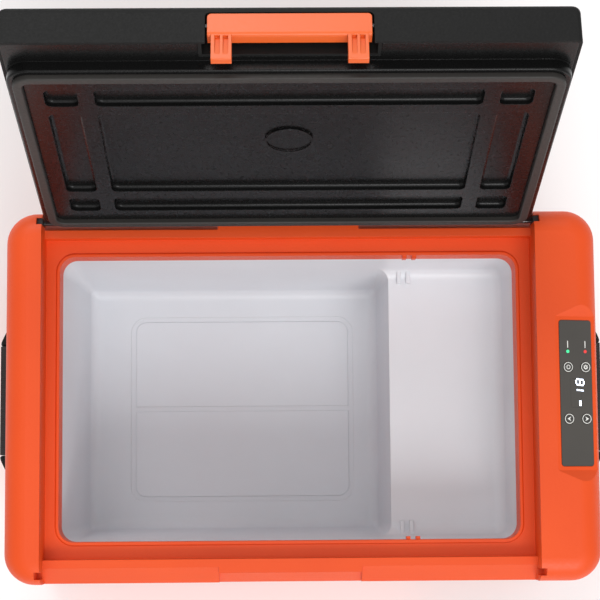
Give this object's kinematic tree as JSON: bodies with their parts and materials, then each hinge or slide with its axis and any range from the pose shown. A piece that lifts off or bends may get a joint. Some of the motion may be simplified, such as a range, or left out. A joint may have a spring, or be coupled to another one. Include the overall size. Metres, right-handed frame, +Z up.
{
  "type": "compressor cooler fridge",
  "caption": "Portable compressor cooler with a stepped white tub, orange frame, hinged black lid with seal and latch, sloped control panel, end carrying bails and a side machinery bay.",
  "frame": {"origin": "centre of the cabinet's footprint on the floor, under the feet", "axes": "+Z up, +X towards the control panel's end, +Y towards the lid's hinge"},
  "size_m": [0.6062, 0.4853, 0.6361],
  "materials": {
    "orange_shell": "fine matt grain",
    "orange_latch": "satin",
    "black_grain": "leather grain",
    "black_smooth": "smooth satin",
    "white_liner": "satin",
    "dark_plastic": "matt",
    "panel_grey": "satin",
    "key_face": "satin with a white ring",
    "window_smoke": "gloss smoked window",
    "lamp_green": "clear lens",
    "lamp_red": "clear lens",
    "seal_rubber": "matt",
    "foot_rubber": "matt",
    "foam": "open foam",
    "steel": "zinc plated",
    "aluminium": "mill finish",
    "copper": "drawn copper",
    "black_metal": "gloss black paint",
    "board_green": "solder mask"
  },
  "bodies": {
    "cabinet": {"base_tray": "dark_plastic", "bay_bulkhead": "steel", "compressor_body": "black_metal", "compressor_bolts": "steel", "compressor_grommets": "foot_rubber", "compressor_plate": "steel", "condenser_coil": "copper", "condenser_fins": "aluminium", "control_board": "board_green", "control_loom": "dark_plastic", "discharge_pipe": "copper", "display_window": "window_smoke", "evaporator_plate": "aluminium", "evaporator_tube": "copper", "fan_bracket": "steel", "fan_frame": "dark_plastic", "fan_screws": "steel", "filter_dryer": "copper", "foam_jacket": "foam", "foot_screws": "steel", "handle_bracket_left": "dark_plastic", "handle_bracket_right": "dark_plastic", "handle_pins_left": "steel", "handle_pins_right": "steel", "hinge_bushes": "dark_plastic", "led_green": "lamp_green", "led_red": "lamp_red", "liner_tub": "white_liner", "module_capacitors": "dark_plastic", "module_heat_sink": "aluminium", "module_standoffs": "dark_plastic", "outer_casing": "orange_shell", "panel_board": "board_green", "panel_plate": "panel_grey", "power_socket": "dark_plastic", "rubber_feet": "foot_rubber", "socket_pins": "copper", "suction_pipe": "copper", "temperature_sensor": "steel", "top_frame": "orange_shell", "vent_grille_back": "dark_plastic", "vent_grille_end": "dark_plastic", "vent_grille_front": "dark_plastic"},
    "lid": {"lid_cover": "black_grain", "lid_inner_panel": "black_smooth", "lid_gasket": "seal_rubber", "lid_foam": "foam", "foam_port_cap": "black_smooth", "lid_hinge_pins": "black_metal", "latch_pin": "black_metal", "latch_spring": "steel"},
    "latch": {"latch_bar": "orange_latch"},
    "handle_left_bail": {"handle_left": "black_grain"},
    "handle_right_bail": {"handle_right": "black_grain"},
    "fan": {"fan_rotor": "dark_plastic"},
    "power_key": {"key_power": "key_face"},
    "mode_key": {"key_mode": "key_face"},
    "up_key": {"key_up": "key_face"},
    "down_key": {"key_down": "key_face"}
  },
  "joints": [
    {"name": "lid_hinge", "type": "hinge", "parent": "cabinet", "child": "lid", "pos_m": [-0.0125, 0.1725, 0.292], "axis": [1, 0, 0], "range_deg": [0, 106]},
    {"name": "latch_pivot", "type": "hinge", "parent": "lid", "child": "latch", "pos_m": [-0.0125, 0.28518, 0.62328], "axis": [-1, 0, 0], "range_deg": [0, 35], "stiffness_Nm_per_rad": 0.4, "springref_deg": -17.19},
    {"name": "handle_left_swing", "type": "hinge", "parent": "cabinet", "child": "handle_left_bail", "pos_m": [-0.29685, 0, 0.24], "axis": [0, 1, 0], "range_deg": [0, 100]},
    {"name": "handle_right_swing", "type": "hinge", "parent": "cabinet", "child": "handle_right_bail", "pos_m": [0.29685, 0, 0.24], "axis": [0, -1, 0], "range_deg": [0, 100]},
    {"name": "fan_spin", "type": "hinge", "parent": "cabinet", "child": "fan", "pos_m": [0.25, 0, 0.088], "axis": [1, 0, 0], "continuous": true},
    {"name": "key_power_press", "type": "slide", "parent": "cabinet", "child": "power_key", "axis": [-0.2588, 0, -0.9659], "range_m": [0, 0.0005], "stiffness_N_per_m": 900},
    {"name": "key_mode_press", "type": "slide", "parent": "cabinet", "child": "mode_key", "axis": [-0.2588, 0, -0.9659], "range_m": [0, 0.0005], "stiffness_N_per_m": 900},
    {"name": "key_up_press", "type": "slide", "parent": "cabinet", "child": "up_key", "axis": [-0.2588, 0, -0.9659], "range_m": [0, 0.0005], "stiffness_N_per_m": 900},
    {"name": "key_down_press", "type": "slide", "parent": "cabinet", "child": "down_key", "axis": [-0.2588, 0, -0.9659], "range_m": [0, 0.0005], "stiffness_N_per_m": 900}
  ]
}
